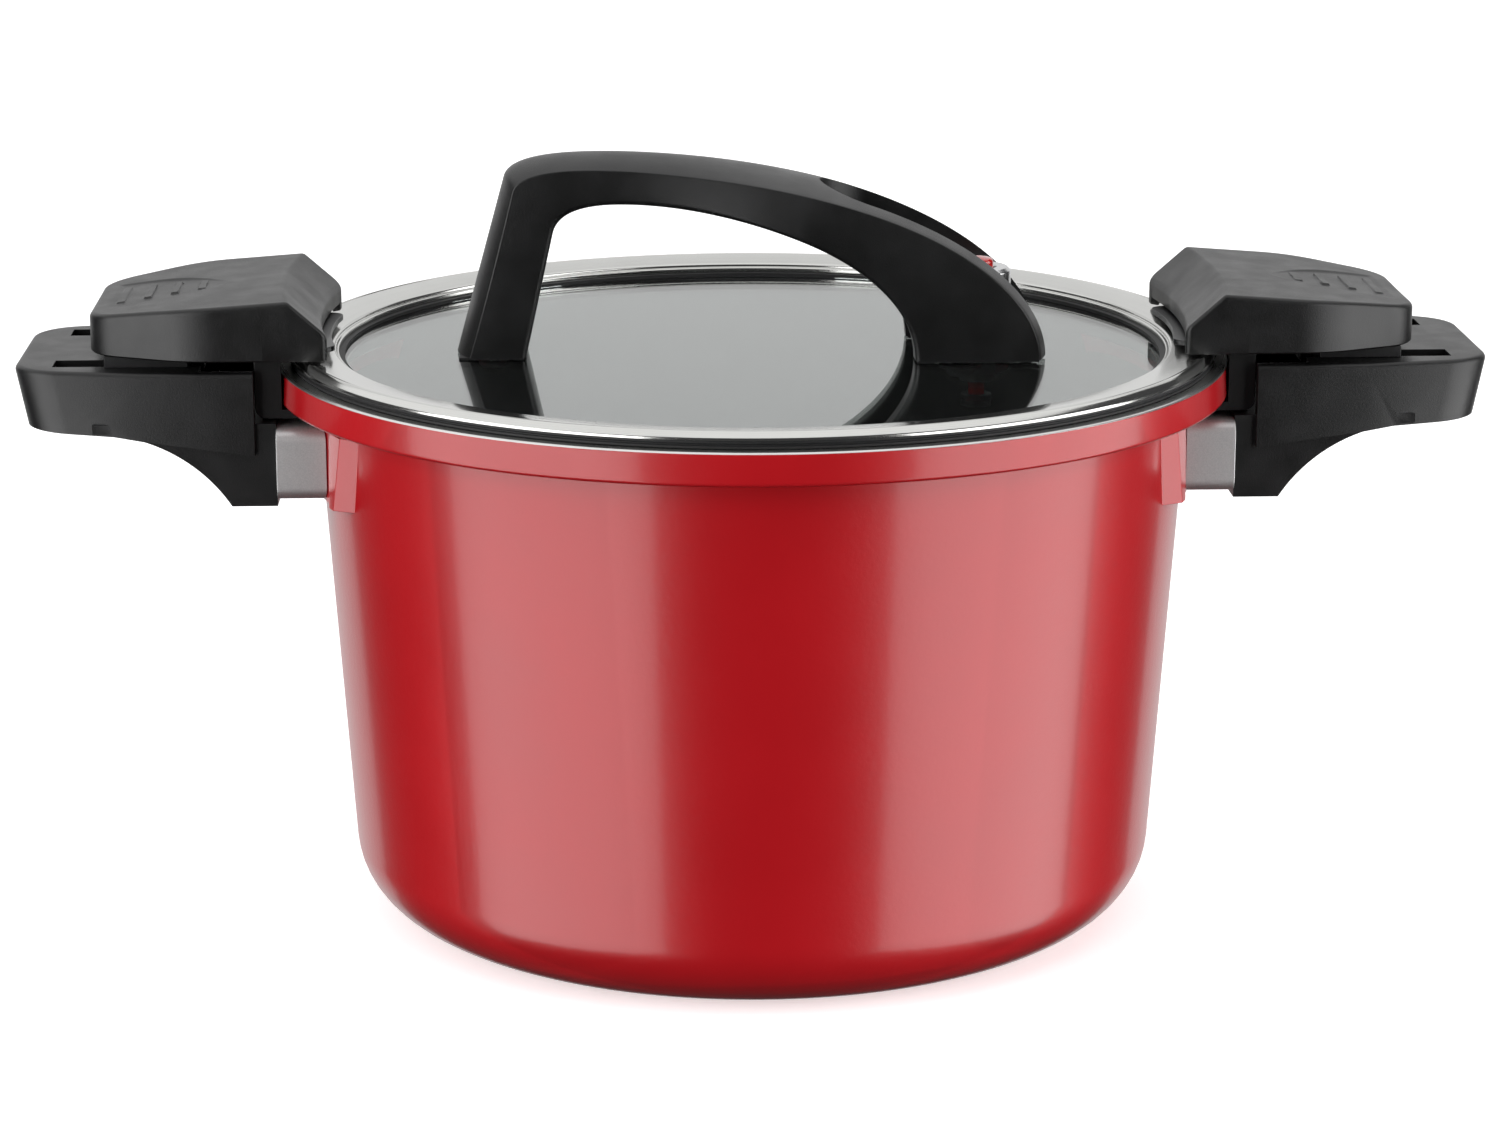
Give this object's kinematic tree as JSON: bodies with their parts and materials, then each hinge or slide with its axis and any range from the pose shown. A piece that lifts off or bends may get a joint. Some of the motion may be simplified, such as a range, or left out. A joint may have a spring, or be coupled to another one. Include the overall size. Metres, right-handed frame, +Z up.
{
  "type": "stovetop pressure cooker",
  "caption": "Tall round coated pot with a flat glass lid, arched fork handle with pressure indicator, and a sliding lid lock on each side handle.",
  "frame": {"origin": "centre of the pot's base, on the surface it stands on", "axes": "+Z up along the pot's axis, +X towards the handle at the lid handle's forked end, +Y away from the side it is viewed from"},
  "size_m": [0.4132, 0.2708, 0.2184],
  "materials": {
    "red_enamel": "glossy fine pearl coating",
    "base_steel": "turned",
    "brushed_steel": "brushed",
    "phenolic": "satin, fine texture",
    "jaw_black": "satin black",
    "shoe_plastic": "smooth",
    "silicone": "matte",
    "glass": "polished",
    "polished_steel": "polished",
    "valve_silver": "satin",
    "indicator_red": "glossy",
    "fastener_steel": "plain"
  },
  "bodies": {
    "pot": {"induction_base_plate": "base_steel", "left_base_handle": "phenolic", "left_handle_screw_far": "fastener_steel", "left_handle_screw_near": "fastener_steel", "left_handle_washer_far": "fastener_steel", "left_handle_washer_near": "fastener_steel", "left_steel_sleeve": "brushed_steel", "pot_body": "red_enamel", "right_base_handle": "phenolic", "right_handle_screw_far": "fastener_steel", "right_handle_screw_near": "fastener_steel", "right_handle_washer_far": "fastener_steel", "right_handle_washer_near": "fastener_steel", "right_steel_sleeve": "brushed_steel"},
    "lid": {"glass_gasket": "silicone", "handle_foot_pad_left": "silicone", "handle_foot_pad_right_far": "silicone", "handle_foot_pad_right_near": "silicone", "lid_glass": "glass", "lid_handle": "phenolic", "lid_handle_screw_left": "fastener_steel", "lid_handle_screw_right_far": "fastener_steel", "lid_handle_screw_right_near": "fastener_steel", "lid_ring": "polished_steel", "lid_screw_washer_left": "fastener_steel", "lid_screw_washer_right_far": "fastener_steel", "lid_screw_washer_right_near": "fastener_steel", "rim_seal": "silicone", "valve_body": "fastener_steel", "valve_cap": "valve_silver", "valve_gasket_lower": "silicone", "valve_gasket_upper": "silicone", "valve_nut": "fastener_steel", "valve_spring": "fastener_steel"},
    "left_slide": {"left_guide_shoe_far": "shoe_plastic", "left_guide_shoe_near": "shoe_plastic", "left_lock_jaw": "jaw_black", "left_shoe_screw_far": "fastener_steel", "left_shoe_screw_near": "fastener_steel", "left_slide_cover": "phenolic"},
    "right_slide": {"right_guide_shoe_far": "shoe_plastic", "right_guide_shoe_near": "shoe_plastic", "right_lock_jaw": "jaw_black", "right_shoe_screw_far": "fastener_steel", "right_shoe_screw_near": "fastener_steel", "right_slide_cover": "phenolic"},
    "indicator": {"indicator_pin": "indicator_red", "pin_seal": "silicone", "pin_stop": "fastener_steel"}
  },
  "joints": [
    {"name": "left_lock_slide", "type": "slide", "parent": "pot", "child": "left_slide", "axis": [-1, 0, 0], "range_m": [0, 0.014]},
    {"name": "right_lock_slide", "type": "slide", "parent": "pot", "child": "right_slide", "axis": [1, 0, 0], "range_m": [0, 0.014]},
    {"name": "lid_lift", "type": "slide", "parent": "pot", "child": "lid", "axis": [0, 0, 1], "range_m": [0, 0.25]},
    {"name": "indicator_rise", "type": "slide", "parent": "lid", "child": "indicator", "axis": [0, 0, 1], "range_m": [0, 0.004], "stiffness_N_per_m": 150, "springref_m": -0.002, "deforming": ["valve_spring"]}
  ]
}
